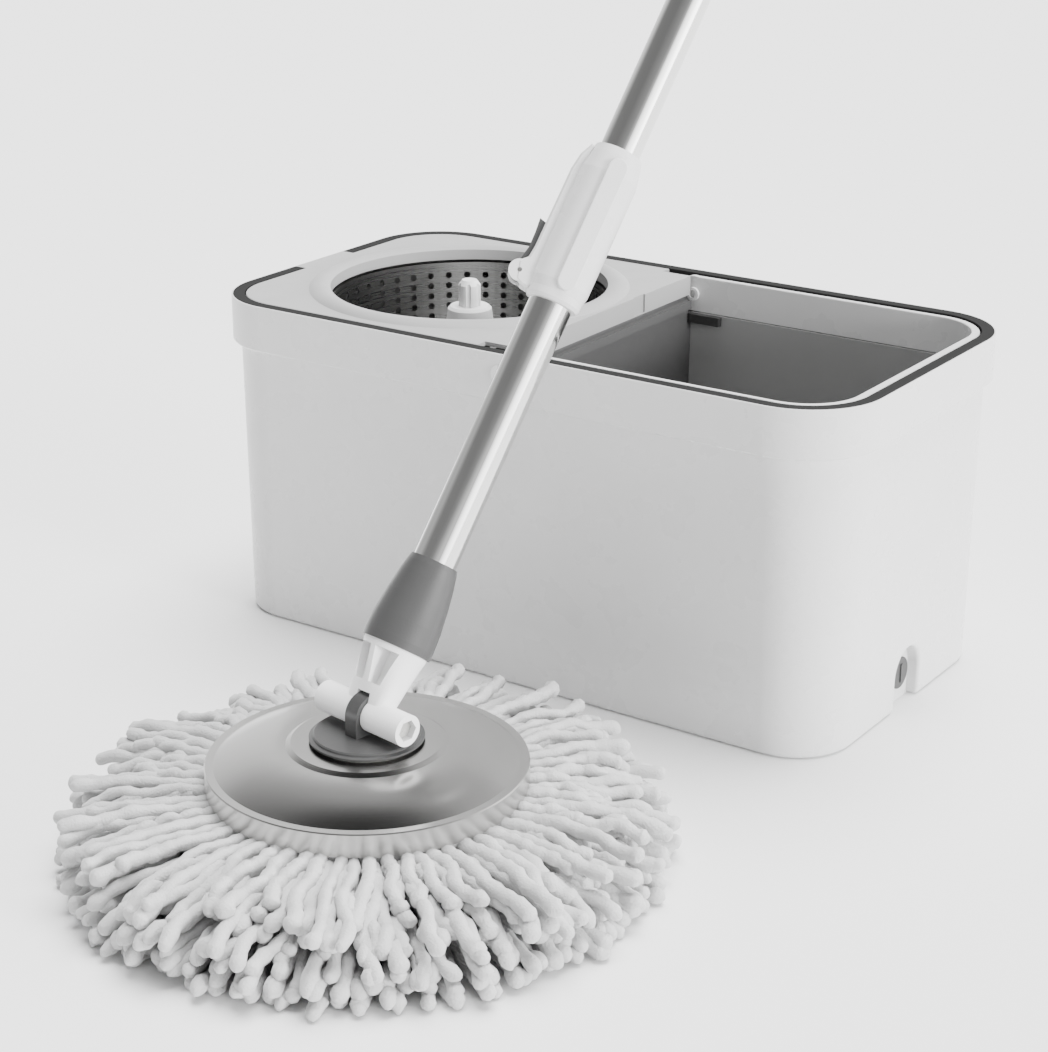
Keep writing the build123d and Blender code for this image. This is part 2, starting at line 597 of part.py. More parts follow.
# ================================================================ knuckle and lower pole
half_gap, slot_radius = lug_width / 2 + 0.3, lug_radius + 1.9
fork_hollow = [(1.6, 14.5), (1.6, 32), (13, 32), (8.5, 14.5)]
fork_foot, fork_head, fork_radius = 4.0, socket_foot - 1, 16.6
with BuildPart() as fork:
    extrude(disc(barrel_plane, barrel_radius), amount=barrel_length / 2, both=True)
    with BuildSketch(across_pole(fork_foot)):
        RectangleRounded(25, 13, 4)
    with BuildSketch(across_pole(fork_head)):
        Circle(fork_radius)
    loft()
    # hollows either side of a middle rib, front and back
    for face in (-1, 1):
        for side in (-1, 1):
            extrude(outline(Plane(origin=knuckle + pole.y_dir * (4.0 * face), x_dir=barrel_dir,
                                  z_dir=pole.y_dir * face),
                            [(side * x, -face * y) for x, y in fork_hollow]),
                    amount=30, mode=Mode.SUBTRACT)
    with BuildSketch(across_pole(fork_head)):
        Circle(fork_radius)
    extrude(amount=3)
    with BuildSketch(across_pole(fork_head)):
        Circle(lower_tube_bore)
    extrude(amount=26)
    # the hub's lug turns in the middle
    with BuildSketch(barrel_plane):
        Circle(slot_radius)
        Rectangle(2 * slot_radius, 60, align=(Align.CENTER, Align.MAX))
    extrude(amount=half_gap, both=True, mode=Mode.SUBTRACT)
    extrude(disc(barrel_plane, knuckle_pin_radius), amount=barrel_length, both=True, mode=Mode.SUBTRACT)
    for end in (-1, 1):
        with BuildSketch(barrel_plane.offset(end * (barrel_length / 2 - 5))):
            RegularPolygon(5.6, 6)
        extrude(amount=end * 8, mode=Mode.SUBTRACT)
finish(fork, "fork")

with BuildPart() as knuckle_pin:
    extrude(disc(barrel_plane, knuckle_pin_radius), amount=barrel_length / 2 - 5, both=True)
    for end in (-1, 1):
        with BuildSketch(barrel_plane.offset(end * (barrel_length / 2 - 5))):
            RegularPolygon(4.4, 6)
        extrude(amount=end * 2.4)
finish(knuckle_pin, "knuckle_pin")

with BuildPart() as grey_socket:
    revolve(outline(along_pole(0), [
        (fork_radius + 0.1, socket_foot), (17.9, socket_foot), (18.1, socket_foot + 4), (17.6, socket_foot + 14),
        (16.2, socket_foot + 26), (14.4, socket_foot + 37), (13.1, socket_foot + 43),
        (12.2, socket_top), (lower_tube_radius, socket_top), (lower_tube_radius, socket_foot + 2),
        (fork_radius + 0.1, socket_foot + 2),
    ]), axis=pole_axis)
finish(grey_socket, "grey_socket")

with BuildPart() as lower_tube:
    with BuildSketch(across_pole(socket_foot + 2)):
        Circle(lower_tube_radius)
        Circle(lower_tube_bore, mode=Mode.SUBTRACT)
    extrude(amount=lower_tube_end - socket_foot - 2)
finish(lower_tube, "lower_tube")

rod_end = rod_start + rod_turns * rod_pitch
with BuildPart() as rod_anchor:
    with BuildSketch(across_pole(rod_start)):
        Circle(lower_tube_bore)
    extrude(amount=4)
finish(rod_anchor, "rod_anchor")

rod_steps = int(rod_turns * 12)
with BuildPart() as twisted_rod:
    for step in range(rod_steps + 1):
        station = rod_start + 4 + (rod_end - rod_start - 4) * step / rod_steps
        turn = 360 * (station - rod_start) / rod_pitch
        with BuildSketch(across_pole(station).rotated((0, 0, turn))):
            Rectangle(9, 2.4)
    loft()
finish(twisted_rod, "twisted_rod")

lever_side = along_pole(lever_angle)
lever_hinge = lever_side.origin + lever_side.x_dir * lug_offset + lean_dir * lug_station
lever_hinge_plane = Plane(origin=lever_hinge, x_dir=lever_side.x_dir, z_dir=lever_side.z_dir)
collar_profile = [
    (lower_tube_radius, collar_foot), (13.4, collar_foot), (14.6, collar_foot + 1.5),
    (14.6, collar_foot + 5), (collar_radius, collar_foot + 10), (collar_radius, collar_top - 14),
    (13.6, collar_top - 4), (12.4, collar_top), (upper_tube_radius + 0.1, collar_top),
    (upper_tube_radius + 0.1, lower_tube_end), (lower_tube_radius, lower_tube_end),
]
with BuildPart() as lock_collar:
    # housing and lug on the lever's side
    extrude(outline(lever_side, [
        (12, collar_foot + 3), (12, collar_top - 3), (14, collar_top - 2), (17.2, collar_top - 9),
        (18.6, collar_top - 18), (18.9, lug_station + 14), (19.6, lug_station + 8),
        (lug_offset + 2.4, lug_station + 4.4), (lug_offset, lug_station - 4.9), (17.5, collar_foot + 2),
        (14.5, collar_foot + 1.5),
    ]), amount=6.5, both=True)
    chamfer(lock_collar.faces().filter_by(Axis(knuckle, lever_side.z_dir)).edges(), 1.1)
    revolve(outline(along_pole(0), collar_profile), axis=pole_axis)
    extrude(disc(lever_hinge_plane, lug_boss_radius + 0.6), amount=6.0, both=True)
    # slot that the lever turns in
    extrude(outline(lever_side, [
        (18.4, lug_station), (18.4, collar_top), (32, collar_top), (32, collar_foot - 12),
        (18.4, collar_foot - 12),
    ]), amount=lever_half_width + 0.4, both=True, mode=Mode.SUBTRACT)
    extrude(disc(lever_hinge_plane, lug_boss_radius), amount=lever_half_width + 0.4, both=True,
            mode=Mode.SUBTRACT)
    extrude(disc(lever_hinge_plane, lever_pin_radius), amount=20, both=True, mode=Mode.SUBTRACT)
    # raised oval pad on the front
    pad_plane = Plane(origin=knuckle + lean_dir * ((collar_foot + collar_top) / 2),
                      x_dir=lean_dir, z_dir=along_pole(pad_angle).x_dir)
    with BuildSketch(pad_plane.offset(13.4)):
        SlotOverall(pad_length, pad_width)
    extrude(amount=pad_reach - 13.4)
    fillet(lock_collar.faces().sort_by(Axis(knuckle, pad_plane.z_dir))[-1].edges(), 0.8)
    with BuildSketch(across_pole(0)):
        Circle(lower_tube_radius)
    extrude(amount=lower_tube_end, mode=Mode.SUBTRACT)
    with BuildSketch(across_pole(lower_tube_end)):
        Circle(upper_tube_radius + 0.1)
    extrude(amount=60, mode=Mode.SUBTRACT)
finish(lock_collar, "lock_collar")

with BuildPart() as lever_pin:
    extrude(disc(lever_hinge_plane, lever_pin_radius), amount=6.0, both=True)
finish(lever_pin, "lever_pin")

lever_root = lug_boss_radius - 0.5
with BuildPart() as lock_lever:
    extrude(disc(lever_hinge_plane, lever_root), amount=lever_half_width, both=True)
    extrude(outline(lever_side, [
        (18.8, lug_station + 2), (18.8, lug_station + 27.5), (22.4, lug_station + 28.5),
        (21.8, lug_station + 21), (21.6, lug_station + 13), (22.8, lug_station + 7),
        (lug_offset + 3.8, lug_station + 2.4), (lug_offset, lug_station),
    ]), amount=lever_half_width, both=True)
    extrude(disc(lever_hinge_plane, lever_pin_radius + running), amount=20, both=True, mode=Mode.SUBTRACT)
finish(lock_lever, "lock_lever")

# ================================================================ sliding upper pole
with BuildPart() as upper_tube:
    with BuildSketch(across_pole(upper_tube_start)):
        Circle(upper_tube_radius)
        Circle(upper_tube_bore, mode=Mode.SUBTRACT)
    extrude(amount=upper_tube_end - upper_tube_start)
finish(upper_tube, "upper_tube")

with BuildPart() as nut_housing:
    with BuildSketch(across_pole(upper_tube_start + 2)):
        Circle(upper_tube_bore)
        Circle(nut_radius + 0.08, mode=Mode.SUBTRACT)
    extrude(amount=22)
    with BuildSketch(across_pole(upper_tube_start + 2)):
        Circle(upper_tube_bore)
        Circle(rod_opening, mode=Mode.SUBTRACT)
    extrude(amount=2)
    with BuildSketch(across_pole(upper_tube_start + 22)):
        Circle(upper_tube_bore)
        Circle(rod_opening, mode=Mode.SUBTRACT)
    extrude(amount=2)
finish(nut_housing, "nut_housing")

with BuildPart() as drive_nut:
    with BuildSketch(across_pole(upper_tube_start + 4.4)):
        Circle(nut_radius)
        Circle(5.0, mode=Mode.SUBTRACT)
    extrude(amount=17.2)
finish(drive_nut, "drive_nut")

with BuildPart() as hand_grip:
    revolve(outline(along_pole(0), [
        (upper_tube_radius, grip_start), (12.6, grip_start), (13.6, grip_start + 4),
        (grip_radius - 0.8, grip_start + 40), (grip_radius, grip_end - 40), (grip_radius - 0.6, grip_end - 6),
        (12.8, grip_end), (upper_tube_radius, grip_end), (upper_tube_radius, upper_tube_end),
    ]), axis=pole_axis)
finish(hand_grip, "hand_grip")

with BuildPart() as hanging_cap:
    with BuildSketch(across_pole(grip_end)):
        Circle(12.8)
    with BuildSketch(across_pole(grip_end + 12)):
        RectangleRounded(19, 8, 3.5)
    loft()
    with BuildSketch(across_pole(grip_end + 12)):
        RectangleRounded(19, 8, 3.5)
    extrude(amount=cap_end - grip_end - 12)
    with BuildSketch(across_pole(upper_tube_end - 20)):
        Circle(upper_tube_bore)
    extrude(amount=20)
    with BuildSketch(across_pole(upper_tube_end)):
        Circle(upper_tube_radius)
    extrude(amount=grip_end - upper_tube_end)
    hang_plane = Plane(origin=knuckle + lean_dir * (cap_end - 10), x_dir=barrel_dir, z_dir=pole.y_dir)
    extrude(disc(hang_plane, hang_radius), amount=30, both=True, mode=Mode.SUBTRACT)
finish(hanging_cap, "hanging_cap")
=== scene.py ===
"""Spin mop and bucket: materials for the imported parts, the yarn fringe and the perforated basket."""
import json
import math
import random

import bpy
import numpy as np
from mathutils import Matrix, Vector


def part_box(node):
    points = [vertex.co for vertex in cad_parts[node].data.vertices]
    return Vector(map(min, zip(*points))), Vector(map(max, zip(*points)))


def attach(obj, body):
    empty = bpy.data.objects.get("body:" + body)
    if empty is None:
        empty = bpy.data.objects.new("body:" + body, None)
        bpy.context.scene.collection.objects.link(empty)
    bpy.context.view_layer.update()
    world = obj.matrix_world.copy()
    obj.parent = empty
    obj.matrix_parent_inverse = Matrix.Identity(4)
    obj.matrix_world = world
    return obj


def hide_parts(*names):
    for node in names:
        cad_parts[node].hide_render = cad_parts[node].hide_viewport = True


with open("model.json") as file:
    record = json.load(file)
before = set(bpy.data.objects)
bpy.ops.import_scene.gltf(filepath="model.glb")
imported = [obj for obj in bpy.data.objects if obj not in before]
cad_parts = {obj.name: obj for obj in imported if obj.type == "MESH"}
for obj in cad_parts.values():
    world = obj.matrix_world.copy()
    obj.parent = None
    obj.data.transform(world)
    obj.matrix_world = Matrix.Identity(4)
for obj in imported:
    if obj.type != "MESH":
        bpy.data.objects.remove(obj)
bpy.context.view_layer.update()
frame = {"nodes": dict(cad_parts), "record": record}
nodes = frame["nodes"]
scene = bpy.context.scene
MM = 0.001


# ---------------------------------------------------------------- camera, lights and floor
CAMERA_PLACE = Vector((0.7192, -1.1300, 0.5647))
CAMERA_AZIMUTH, CAMERA_DOWN = math.radians(34.45), math.radians(20.49)
CAMERA_LENS, CAMERA_SENSOR, CAMERA_SIGHT = 80.9, 36.0, 200.0
FLOOR_REACH = 60.0
SURROUND_STRENGTH = 1.15
# how bright the surround is for a direction's share upwards, to the right and to the back
LEVELS_UP = [(0.0, 1.0), (0.44, 1.0), (0.60, 0.42), (0.83, 0.36), (0.94, 0.07), (1.0, 0.03)]
LEVELS_RIGHT = [(0.0, 1.0), (0.80, 1.6), (1.0, 9.0)]
LEVELS_BACK = [(0.0, 0.55), (0.6, 1.5)]


def add_camera():
    """A long lens in front of the set, from above and to the right."""
    data = bpy.data.cameras.new("camera")
    data.lens = CAMERA_LENS
    data.sensor_width = CAMERA_SENSOR
    data.clip_end = CAMERA_SIGHT
    camera = bpy.data.objects.new("camera", data)
    camera.location = CAMERA_PLACE
    camera.rotation_euler = (math.pi / 2 - CAMERA_DOWN, 0.0, CAMERA_AZIMUTH)
    scene.collection.objects.link(camera)
    scene.camera = camera


def sun_light(name, place, spread, strength):
    """A soft light from far away, shining from a place towards the origin, that steel doesn't mirror."""
    data = bpy.data.lights.new(name, "SUN")
    data.angle = math.radians(spread)
    data.energy = strength
    light = bpy.data.objects.new(name, data)
    light.location = place
    light.rotation_euler = (-Vector(place)).to_track_quat("-Z", "Y").to_euler()
    light.visible_glossy = False
    scene.collection.objects.link(light)


def level_ramp(tree, source, stops):
    """A grey level that follows one of the surround's directions."""
    ramp = tree.nodes.new("ShaderNodeValToRGB")
    elements = ramp.color_ramp.elements
    while len(elements) < len(stops):
        elements.new(0.5)
    for element, (position, level) in zip(elements, stops):
        element.position = position
        element.color = (*grey(level), 1)
    tree.links.new(source, ramp.inputs["Fac"])
    return ramp.outputs["Color"]


def studio_surround():
    """Bright all round up to 26 degrees, dark overhead, and brightest to the right and to the back."""
    world = bpy.data.worlds.new("studio")
    world.use_nodes = True
    tree = world.node_tree
    direction = tree.nodes.new("ShaderNodeTexCoord")
    split = tree.nodes.new("ShaderNodeSeparateXYZ")
    tree.links.new(direction.outputs["Generated"], split.inputs["Vector"])
    level = level_ramp(tree, split.outputs["Z"], LEVELS_UP)
    for axis, stops in (("X", LEVELS_RIGHT), ("Y", LEVELS_BACK)):
        product = tree.nodes.new("ShaderNodeVectorMath")
        product.operation = "MULTIPLY"
        tree.links.new(level, product.inputs[0])
        tree.links.new(level_ramp(tree, split.outputs[axis], stops), product.inputs[1])
        level = product.outputs["Vector"]
    background = tree.nodes["Background"]
    tree.links.new(level, background.inputs["Color"])
    background.inputs["Strength"].default_value = SURROUND_STRENGTH
    scene.world = world


def add_floor():
    corners = [(-FLOOR_REACH, -FLOOR_REACH, 0), (FLOOR_REACH, -FLOOR_REACH, 0),
               (FLOOR_REACH, FLOOR_REACH, 0), (-FLOOR_REACH, FLOOR_REACH, 0)]
    mesh = bpy.data.meshes.new("floor")
    mesh.from_pydata(corners, [], [(0, 1, 2, 3)])
    mesh.materials.append(plain_floor())
    floor = bpy.data.objects.new("floor", mesh)
    scene.collection.objects.link(floor)


def add_stage():
    """A pale floor under soft light."""
    studio_surround()
    add_floor()
    sun_light("key", place=(2.0, -0.2, 0.30), spread=16, strength=4.5)
    sun_light("top", place=(0.0, 0.5, 2.0), spread=50, strength=9.2)


# ---------------------------------------------------------------- materials
NOISE_LOW, NOISE_HIGH = 0.3, 0.7  # most of a noise's values lie between these
CLOUD_SCALE, CLOUD = 14.0, 0.03
SMEAR_SCALE = 45.0
GRAIN, GRAIN_SCALE = 0.00002, 1400.0


def grey(level):
    return (level, level, level)


def new_material(name):
    """A material with its node tree and its shader."""
    material = bpy.data.materials.new(name)
    material.use_nodes = True
    return material, material.node_tree, material.node_tree.nodes["Principled BSDF"]


def add_node(tree, kind, **inputs):
    """A shader node with some of its inputs set by name."""
    node = tree.nodes.new(kind)
    for key, value in inputs.items():
        node.inputs[key.replace("_", " ")].default_value = value
    return node


def object_noise(tree, scale, detail, stretch=(1, 1, 1)):
    """Noise in the object's own metres."""
    place = tree.nodes.new("ShaderNodeTexCoord")
    mapping = add_node(tree, "ShaderNodeMapping", Scale=stretch)
    noise = add_node(tree, "ShaderNodeTexNoise", Scale=scale, Detail=detail)
    tree.links.new(place.outputs["Object"], mapping.inputs["Vector"])
    tree.links.new(mapping.outputs["Vector"], noise.inputs["Vector"])
    return noise.outputs["Fac"]


def vary(tree, source, low, high):
    """Spread a noise's values over a range."""
    spread = add_node(tree, "ShaderNodeMapRange",
                      From_Min=NOISE_LOW, From_Max=NOISE_HIGH, To_Min=low, To_Max=high)
    tree.links.new(source, spread.inputs["Value"])
    return spread.outputs["Result"]


def blend_colours(tree, source, first, second):
    """From the first colour where the source is zero to the second where it is one."""
    mix = tree.nodes.new("ShaderNodeMix")
    mix.data_type = "RGBA"
    mix.inputs["A"].default_value = (*first, 1)
    mix.inputs["B"].default_value = (*second, 1)
    tree.links.new(source, mix.inputs["Factor"])
    return mix.outputs["Result"]


def bump(tree, shader, height, distance):
    node = add_node(tree, "ShaderNodeBump", Distance=distance, Strength=1.0)
    tree.links.new(height, node.inputs["Height"])
    tree.links.new(node.outputs["Normal"], shader.inputs["Normal"])


def cloudy_colour(tree, darker, lighter):
    return blend_colours(tree, object_noise(tree, CLOUD_SCALE, detail=2.0), darker, lighter)


def moulded_finish(tree, shader, smoothest, roughest, grain=GRAIN, grain_scale=GRAIN_SCALE):
    """Uneven gloss over a fine moulded grain."""
    smears = object_noise(tree, SMEAR_SCALE, detail=4.0)
    tree.links.new(vary(tree, smears, smoothest, roughest), shader.inputs["Roughness"])
    bump(tree, shader, object_noise(tree, grain_scale, detail=2.0), grain)


def plastic(name, colour, rough, grain=GRAIN, grain_scale=GRAIN_SCALE):
    """Moulded plastic: a faint cloudiness, uneven gloss and a fine moulded grain."""
    material, tree, shader = new_material(name)
    darker = tuple(c * (1 - CLOUD) for c in colour)
    lighter = tuple(min(1.0, c * (1 + CLOUD)) for c in colour)
    tree.links.new(cloudy_colour(tree, darker, lighter), shader.inputs["Base Color"])
    moulded_finish(tree, shader, rough - 0.05, rough + 0.07, grain, grain_scale)
    return material


def maths(tree, operation, *values):
    """A maths node, whose values are sockets or numbers."""
    node = tree.nodes.new("ShaderNodeMath")
    node.operation = operation
    for socket, value in zip(node.inputs, values):
        if isinstance(value, float):
            socket.default_value = value
        else:
            tree.links.new(value, socket)
    return node.outputs["Value"]


def darken(tree, mask, below, level):
    """A darker grey over a colour, where the mask is one."""
    mix = tree.nodes.new("ShaderNodeMix")
    mix.data_type = "RGBA"
    mix.inputs["B"].default_value = (*grey(level), 1)
    tree.links.new(mask, mix.inputs["Factor"])
    tree.links.new(below, mix.inputs["A"])
    return mix.outputs["Result"]


def tub_plastic():
    """The tub's grey plastic, with painted shade darkening the divider and its lip, and nearly black and
    matt on the flat flange round the mouth."""
    flange_depth, lip_depth = 4.5 * MM, 20.4 * MM
    divider_middle, divider_reach = 1.3 * MM, 1.9 * MM
    lip_middle, lip_reach = 2.7 * MM, 3.0 * MM
    # the divider's darker grey is painted shade
    divider_shade_level, flange_level = 0.085, 0.028
    flange_specular, other_specular = 0.0, 0.3

    material, tree, shader = new_material("grey_tub_plastic")
    tub_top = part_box("inner_tub")[1].z
    place = tree.nodes.new("ShaderNodeTexCoord")
    split = tree.nodes.new("ShaderNodeSeparateXYZ")
    tree.links.new(place.outputs["Object"], split.inputs["Vector"])
    along, upwards = split.outputs["X"], split.outputs["Z"]
    flange = maths(tree, "GREATER_THAN", upwards, tub_top - flange_depth)
    # painted shade: a mask over the divider and the lip on its top, which stand in shade between the two
    # compartments
    lip = maths(tree, "MULTIPLY",
                maths(tree, "COMPARE", along, lip_middle, lip_reach),
                maths(tree, "GREATER_THAN", upwards, tub_top - lip_depth))
    divider = maths(tree, "MAXIMUM", maths(tree, "COMPARE", along, divider_middle, divider_reach), lip)
    colour = cloudy_colour(tree, grey(0.28), grey(0.30))
    # painted shade over the divider and its lip
    colour = darken(tree, divider, colour, divider_shade_level)
    colour = darken(tree, flange, colour, flange_level)
    tree.links.new(colour, shader.inputs["Base Color"])
    specular = add_node(tree, "ShaderNodeMapRange", To_Min=other_specular, To_Max=flange_specular)
    tree.links.new(flange, specular.inputs["Value"])
    tree.links.new(specular.outputs["Result"], shader.inputs["Specular IOR Level"])
    moulded_finish(tree, shader, smoothest=0.30, roughest=0.42)
    return material


def metal(name, colour, rough, stretch=(1, 1, 1)):
    """Drawn or polished metal: fine grain, stretched along one direction."""
    material, tree, shader = new_material(name)
    shader.inputs["Metallic"].default_value = 1.0
    streaks = object_noise(tree, scale=300.0, detail=3.0, stretch=stretch)
    darker = tuple(c * 0.93 for c in colour)
    tree.links.new(blend_colours(tree, streaks, darker, colour), shader.inputs["Base Color"])
    tree.links.new(vary(tree, streaks, rough * 0.8, rough * 1.25), shader.inputs["Roughness"])
    bump(tree, shader, streaks, distance=0.00001)
    return material


def turned_steel(name, centre, colour, rough):
    """Steel with fine rings round an upright axis, as left by polishing on a lathe."""
    material, tree, shader = new_material(name)
    shader.inputs["Metallic"].default_value = 1.0
    shader.inputs["Anisotropic"].default_value = 0.4
    place = tree.nodes.new("ShaderNodeTexCoord")
    shift = add_node(tree, "ShaderNodeMapping", Location=(-centre.x, -centre.y, 0), Scale=(1, 1, 0.4))
    distance = tree.nodes.new("ShaderNodeVectorMath")
    distance.operation = "LENGTH"
    noise = add_node(tree, "ShaderNodeTexNoise", Scale=2600.0, Detail=4.0)
    noise.noise_dimensions = "1D"
    tree.links.new(place.outputs["Object"], shift.inputs["Vector"])
    tree.links.new(shift.outputs["Vector"], distance.inputs[0])
    tree.links.new(distance.outputs["Value"], noise.inputs["W"])
    rings = noise.outputs["Fac"]
    darker = tuple(c * 0.96 for c in colour)
    tree.links.new(blend_colours(tree, rings, darker, colour), shader.inputs["Base Color"])
    tree.links.new(vary(tree, rings, rough * 0.94, rough * 1.08), shader.inputs["Roughness"])
    bump(tree, shader, rings, distance=0.0000015)
    tangent = tree.nodes.new("ShaderNodeTangent")
    tangent.direction_type = "RADIAL"
    tangent.axis = "Z"
    tree.links.new(tangent.outputs["Tangent"], shader.inputs["Tangent"])
    return material


def yarn_material():
    """Microfibre yarn: soft and matt, with a fine fuzzy surface and a little sheen."""
    material, tree, shader = new_material("yarn")
    fuzz = object_noise(tree, scale=900.0, detail=5.0)
    lumps = object_noise(tree, scale=90.0, detail=2.0)
    tree.links.new(blend_colours(tree, lumps, grey(0.44), grey(0.56)), shader.inputs["Base Color"])
    shader.inputs["Roughness"].default_value = 0.95
    shader.inputs["Sheen Weight"].default_value = 0.25
    shader.inputs["Sheen Roughness"].default_value = 0.5
    bump(tree, shader, fuzz, distance=0.0006)
    return material


def plain_floor():
    material, tree, shader = new_material("floor")
    tint = object_noise(tree, scale=2.0, detail=2.0)
    tree.links.new(blend_colours(tree, tint, grey(0.86), grey(0.87)), shader.inputs["Base Color"])
    shader.inputs["Roughness"].default_value = 0.9
    return material


def box_centre(node):
    """The middle of a node's box at rest."""
    low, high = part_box(node)
    return (low + high) / 2


add_camera()
add_stage()

head_centre = box_centre("head_plate")
basket_centre = box_centre("spin_basket")

MATERIALS = {
    "white_plastic": plastic("white_plastic", grey(0.64), rough=0.28),
    "white_satin_plastic": plastic("white_satin_plastic", grey(0.74), rough=0.38),
    "grey_tub_plastic": tub_plastic(),
    "grey_plastic": plastic("grey_plastic", grey(0.055), rough=0.34, grain=0.00005, grain_scale=900.0),
    "grey_rubber": plastic("grey_rubber", grey(0.06), rough=0.65, grain=0.00006, grain_scale=700.0),
    "brushed_steel": turned_steel("turned_steel_head", head_centre, (0.60, 0.595, 0.585), rough=0.24),
    "polished_steel": metal("polished_steel", (0.80, 0.80, 0.79), rough=0.09, stretch=(1, 0.25, 0.2)),
    "zinc_steel": metal("zinc_steel", (0.60, 0.60, 0.58), rough=0.30),
    "acetal": plastic("acetal", (0.72, 0.72, 0.69), rough=0.40),
    "core_plastic": plastic("core_plastic", grey(0.50), rough=0.45),
    "yarn": yarn_material(),
}
# nodes whose plastic is given a grey lighter or darker than the rest of their slot: the cover's darker
# grey is painted shade and the fork's lighter grey is painted light
OWN_MATERIALS = {
    # painted shade: the white cover is given a darker grey
    "wringer_cover": plastic("cover_plastic_painted_shade", grey(0.33), rough=0.36),
    "handle_stops": plastic("stop_plastic", grey(0.03), rough=0.45),
    # painted light: the white satin fork is given a lighter grey
    "fork": plastic("fork_plastic_painted_light", grey(0.88), rough=0.34),
}
SLOT_OF = {part["node"]: part["material_slot"] for part in frame["record"]["subparts"]}

for node_name, node in nodes.items():
    node.data.materials.clear()
    node.data.materials.append(OWN_MATERIALS.get(node_name, MATERIALS[SLOT_OF[node_name]]))


# ---------------------------------------------------------------- mesh helpers
def add_piece(name, points, faces, material, smooth):
    mesh = bpy.data.meshes.new(name)
    mesh.from_pydata([tuple(p) for p in points], [], faces)
    mesh.materials.append(material)
    if smooth:
        mesh.polygons.foreach_set("use_smooth", [True] * len(mesh.polygons))
    mesh.update()
    piece = bpy.data.objects.new(name, mesh)
    scene.collection.objects.link(piece)
    return piece


def tube_rings(path, radii, sides):
    """Rings of points round a path that starts out level, in frames carried along it without a twist."""
    steps = np.gradient(path, axis=0)
    steps /= np.linalg.norm(steps, axis=1)[:, None]
    side = np.cross(steps[0], (0, 0, 1.0))
    angles = np.linspace(0, 2 * math.pi, sides, endpoint=False)
    rings = []
    for point, step, radius in zip(path, steps, radii):
        side = side - step * np.dot(side, step)
        side /= np.linalg.norm(side)
        up = np.cross(step, side)
        rings.append(point + radius * (np.cos(angles)[:, None] * side + np.sin(angles)[:, None] * up))
    return rings


def tube(path, radii, sides, points, faces):
    """Add a closed tube to the point and face lists."""
    rings = tube_rings(path, radii, sides)
    first = len(points)
    for ring in rings:
        points.extend(ring)
    for row in range(len(rings) - 1):
        for k in range(sides):
            a = first + row * sides + k
            b = first + row * sides + (k + 1) % sides
            faces.append((a, b, b + sides, a + sides))
    root, tip = len(points), len(points) + 1
    points.extend((path[0], path[-1]))
    last = first + (len(rings) - 1) * sides
    for k in range(sides):
        faces.append((root, first + (k + 1) % sides, first + k))
        faces.append((tip, last + k, last + (k + 1) % sides))


# ---------------------------------------------------------------- yarn fringe
SEED = 11
STRAND_SIDES = 8
# how far along a strand each ring of points is, closer together round the tip
STRAND_STEPS = np.concatenate([np.linspace(0, 0.94, 25), [0.958, 0.97, 0.98, 0.989, 0.996, 1.0]])
YARN_RADIUS = 3.5 * MM
ROOT_REACH = 68 * MM
# for each layer: how many strands, height at the root, peak and tip, shortest and longest reach, in mm
LAYERS = [
    (84, 6, 6, 4.2, 142, 154),
    (84, 10, 11, 7.5, 141, 155),
    (84, 15, 16, 12, 139, 155),
    (82, 19, 21, 16.5, 136, 155),
    (80, 24, 26, 21.5, 131, 155),
    (78, 28, 30.5, 26, 125, 154),
    (76, 32, 35, 31, 118, 153),
    (66, 35, 38, 35, 108, 152),
]
TOP_ROOT_Z = LAYERS[-1][1]
LAYER_TURN = 0.37  # each layer is turned by this share of a strand's spacing from the one below
SPACING = (-0.3, 0.3)  # and a strand strays from its place by a share in this range
# the strands reach further, by this many millimetres, towards this side
FRONT, FRONT_REACH = math.radians(-58), 7
PEAK, TIP_START = 0.42, 0.955  # where along a strand it is highest, and where its tip starts to round
# what each strand draws from: sizes in millimetres, waves in turns along the strand
ROUGH_TURN = 6.28
PHASE = (0, ROUGH_TURN)
SAG, DROOP = (-2.0, 2.5), (0, 0, 0, 3, 7)
WANDER, WANDER_TURNS = (1.2, 3.8), (0.8, 2.2)
BEND, BEND_TIMES = (-5, 5), (1, 1, 2)
RIPPLE, RIPPLE_TURNS = (0.6, 2.0), (2, 4)
# and these are shares of the yarn's radius
LUMP, LUMP_TURNS = (0.08, 0.16), (6, 10)
THICKNESS = (0.88, 1.14)
# a strand is thickest here, by this share of its radius, and the swelling fades over this much of it
BULGE_PLACE, BULGE, BULGE_WIDTH = 0.93, 0.13, 0.05
LEAST_TIP = 0.03  # keeps the last ring from shrinking to a point
# how each grows along a strand: fast at first below one, slowly at first above it
REACH_POWER, FALL_POWER, WANDER_POWER, BEND_POWER = 0.95, 1.8, 0.8, 2


